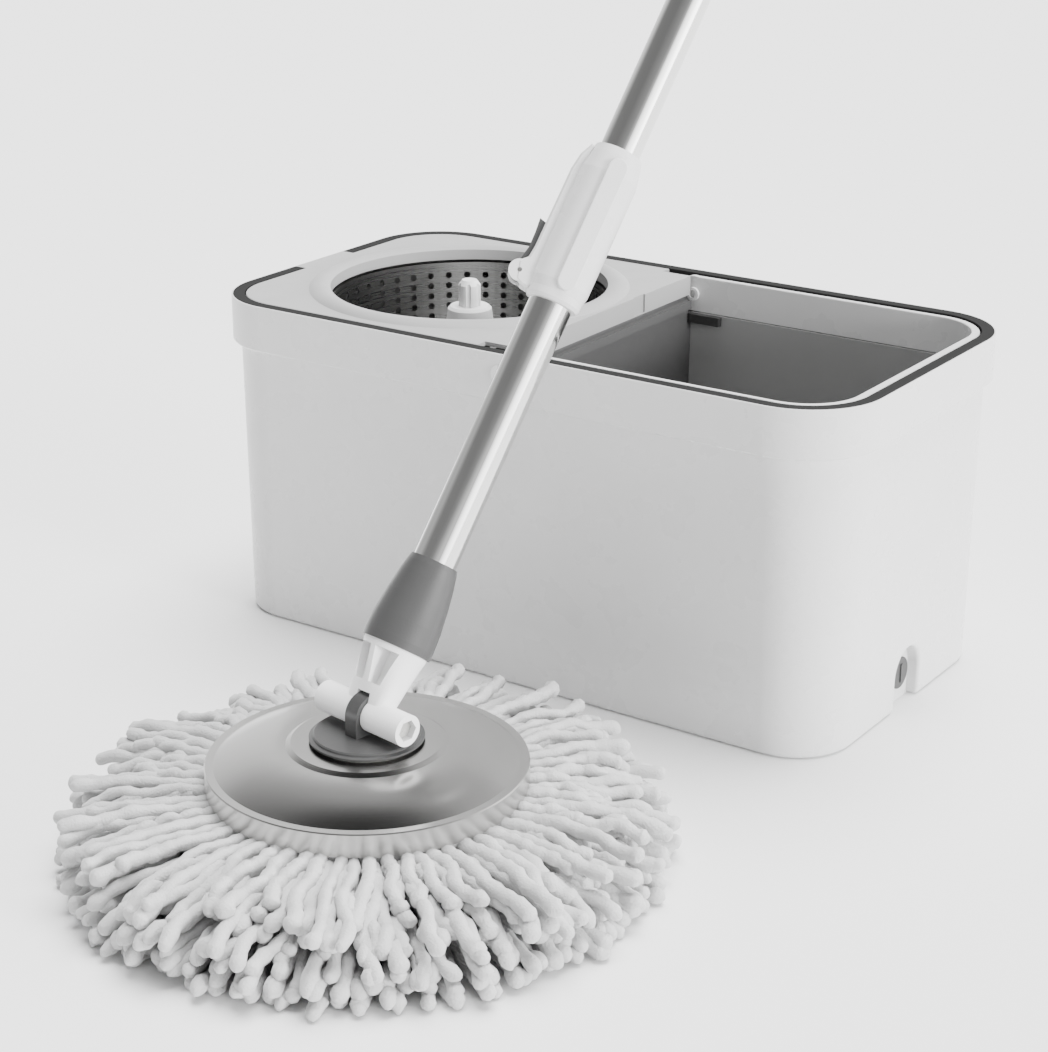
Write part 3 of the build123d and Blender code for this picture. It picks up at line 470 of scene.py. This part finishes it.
def strand_path(rng, angle, layer):
    """A wandering line outwards from under the plate, falling towards its tip."""
    root_z, peak_z, tip_z, shortest, longest = layer[1:]
    t = STRAND_STEPS
    forward = max(0.0, math.cos(angle - FRONT)) ** 2
    reach = (rng.uniform(shortest, longest) + FRONT_REACH * forward) * MM
    out = ROOT_REACH + (reach - ROOT_REACH) * t ** REACH_POWER

    rise = np.clip(t / PEAK, 0, 1)
    fall = np.clip((t - PEAK) / (1 - PEAK), 0, 1)
    sag = rng.uniform(*SAG) + rng.choice(DROOP) * (root_z / TOP_ROOT_Z)
    height = root_z + (peak_z - root_z) * np.sin(rise * math.pi / 2)
    height = height + (tip_z - sag - peak_z) * fall ** FALL_POWER

    wander = rng.uniform(*WANDER) * MM
    phase, turns = rng.uniform(*PHASE), rng.uniform(*WANDER_TURNS)
    sideways = wander * t ** WANDER_POWER * np.sin(phase + turns * 2 * math.pi * t)
    sideways = sideways + rng.choice(BEND_TIMES) * rng.uniform(*BEND) * MM * t ** BEND_POWER

    ripple = rng.uniform(*RIPPLE) * MM * t
    phase, turns = rng.uniform(*PHASE), rng.uniform(*RIPPLE_TURNS)
    ripple = ripple * np.sin(phase + turns * ROUGH_TURN * t)

    radial = np.array([math.cos(angle), math.sin(angle), 0])
    across = np.array([-math.sin(angle), math.cos(angle), 0])
    path = out[:, None] * radial + sideways[:, None] * across
    path[:, 0] += head_centre.x
    path[:, 1] += head_centre.y
    path[:, 2] = height * MM + ripple
    return path


def strand_radii(rng):
    """Lumpy yarn, a little thicker before its rounded tip."""
    t = STRAND_STEPS
    lump, phase, turns = rng.uniform(*LUMP), rng.uniform(*PHASE), rng.uniform(*LUMP_TURNS)
    lumps = 1 + lump * np.sin(phase + turns * ROUGH_TURN * t)
    bulge = 1 + BULGE * np.exp(-((t - BULGE_PLACE) / BULGE_WIDTH) ** 2)
    tip = np.clip((t - TIP_START) / (1 - TIP_START), 0, 1)
    rounding = np.sqrt(np.clip(1 - tip ** 2, LEAST_TIP, 1))
    return YARN_RADIUS * rng.uniform(*THICKNESS) * lumps * rounding * bulge


def build_fringe():
    rng = random.Random(SEED)
    for index, layer in enumerate(LAYERS):
        points, faces = [], []
        count = layer[0]
        for k in range(count):
            angle = 2 * math.pi * (k + LAYER_TURN * index + rng.uniform(*SPACING)) / count
            path, radii = strand_path(rng, angle, layer), strand_radii(rng)
            path[:, 2] = np.maximum(path[:, 2], radii)  # no strand goes below the floor
            tube(path, radii, STRAND_SIDES, points, faces)
        piece = add_piece("fringe_layer_%d" % (index + 1), points, faces, MATERIALS["yarn"], smooth=True)
        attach(piece, "mop_head")
        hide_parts("yarn_fringe")


# ---------------------------------------------------------------- perforated spin basket
BASKET_LOW, BASKET_HIGH = (corner.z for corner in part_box("spin_basket"))
WALL, LIP = 0.8 * MM, 1.6 * MM
BORE_RADIUS, FOOT_RADIUS, MOUTH_RADIUS, LIP_RADIUS = 20 * MM, 80.0 * MM, 83.6 * MM, 86.2 * MM
TAPER_LOW, TAPER_HIGH = BASKET_LOW + 7 * MM, BASKET_HIGH - LIP
# the rounded foot: how far inside the foot's radius and above the lowest point, in mm
FOOT_INSIDE = [(0.8, 7), (2.1, 2.6), (6.4, 0.8)]
FOOT_OUTSIDE = [(6, 0), (1.5, 2), (0, 7)]
HOLE_COLUMNS, HOLE_ROWS, HOLE_SEGMENTS = 44, 9, 12
HOLE_RADIUS, HOLE_PITCH = 2.1 * MM, 6.5 * MM
TOP_ROW = BASKET_HIGH - 8.2 * MM
HOLES_HIGH = TOP_ROW + HOLE_PITCH / 2
HOLES_LOW = TOP_ROW - (HOLE_ROWS - 0.5) * HOLE_PITCH
TURN_STEPS = 4 * HOLE_COLUMNS


def taper_radius(height):
    """The tapering wall's outer radius at a height."""
    share = (height - TAPER_LOW) / (TAPER_HIGH - TAPER_LOW)
    return FOOT_RADIUS + (MOUTH_RADIUS - FOOT_RADIUS) * share


def basket_point(angle, radius, height):
    x = basket_centre.x + radius * math.cos(angle)
    y = basket_centre.y + radius * math.sin(angle)
    return x, y, height


def hole_directions():
    """Steps round a hole, as a point on a circle and the point beyond it on a square."""
    for k in range(HOLE_SEGMENTS):
        turn = 2 * math.pi * (k + 0.5) / HOLE_SEGMENTS
        c, s = math.cos(turn), math.sin(turn)
        reach = 1 / max(abs(c), abs(s))
        yield c, s, c * reach, s * reach


def add_hole(middle, height, points, faces):
    """One cell of the wall, from its edge to the hole's: outer face, inner face and the hole's side."""
    first = len(points)
    half_angle, half_height = math.pi / HOLE_COLUMNS, HOLE_PITCH / 2
    hole_angle = HOLE_RADIUS / taper_radius(height)
    for depth in (0, WALL):
        for c, s, edge_c, edge_s in hole_directions():
            hole_height, edge_height = height + s * HOLE_RADIUS, height + edge_s * half_height
            points.append(basket_point(middle + c * hole_angle,
                                       taper_radius(hole_height) - depth, hole_height))
            points.append(basket_point(middle + edge_c * half_angle,
                                       taper_radius(edge_height) - depth, edge_height))
    back = first + 2 * HOLE_SEGMENTS
    for k in range(HOLE_SEGMENTS):
        a, b = 2 * k, 2 * ((k + 1) % HOLE_SEGMENTS)
        faces.append((first + a, first + a + 1, first + b + 1, first + b))
        faces.append((back + b, back + b + 1, back + a + 1, back + a))
        faces.append((first + b, back + b, back + a, first + a))


def revolve(profile, points, faces):
    """A closed profile of radius and height, turned round the basket's axis."""
    first = len(points)
    count = len(profile)
    for step in range(TURN_STEPS):
        turn = 2 * math.pi * step / TURN_STEPS
        points.extend(basket_point(turn, radius, height) for radius, height in profile)
    for step in range(TURN_STEPS):
        here, there = first + step * count, first + ((step + 1) % TURN_STEPS) * count
        for k in range(count):
            following = (k + 1) % count
            faces.append((here + k, there + k, there + following, here + following))


def mouth_profile():
    """The plain wall above the holes, with the rounded lip round the mouth."""
    upper, rounding = taper_radius(HOLES_HIGH), LIP / 2
    lip = [(LIP_RADIUS - rounding * (1 - math.cos(a)), BASKET_HIGH - rounding + rounding * math.sin(a))
           for a in np.linspace(-math.pi / 2, math.pi / 2, 7)]
    return [(upper, HOLES_HIGH), (MOUTH_RADIUS, TAPER_HIGH), *lip,
            (MOUTH_RADIUS - WALL, BASKET_HIGH), (upper - WALL, HOLES_HIGH)]


def foot_profile():
    """The plain wall below the holes, the rounded foot and the flat bottom with its bore."""
    lower = taper_radius(HOLES_LOW)
    inside, outside = ([(FOOT_RADIUS - inwards * MM, BASKET_LOW + up * MM) for inwards, up in corner]
                       for corner in (FOOT_INSIDE, FOOT_OUTSIDE))
    bore = [(BORE_RADIUS, BASKET_LOW + WALL), (BORE_RADIUS, BASKET_LOW)]
    return [(lower - WALL, HOLES_LOW), *inside, *bore, *outside, (lower, HOLES_LOW)]


def build_basket():
    points, faces = [], []
    for column in range(HOLE_COLUMNS):
        for row in range(HOLE_ROWS):
            middle = 2 * math.pi * (column + 0.5) / HOLE_COLUMNS
            add_hole(middle, TOP_ROW - row * HOLE_PITCH, points, faces)
    revolve(mouth_profile(), points, faces)
    revolve(foot_profile(), points, faces)
    material = turned_steel("turned_steel_basket", basket_centre, (0.42, 0.42, 0.415), rough=0.28)
    piece = add_piece("basket_steel", points, faces, material, smooth=False)
    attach(piece, "basket")
    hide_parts("spin_basket")


build_fringe()
build_basket()
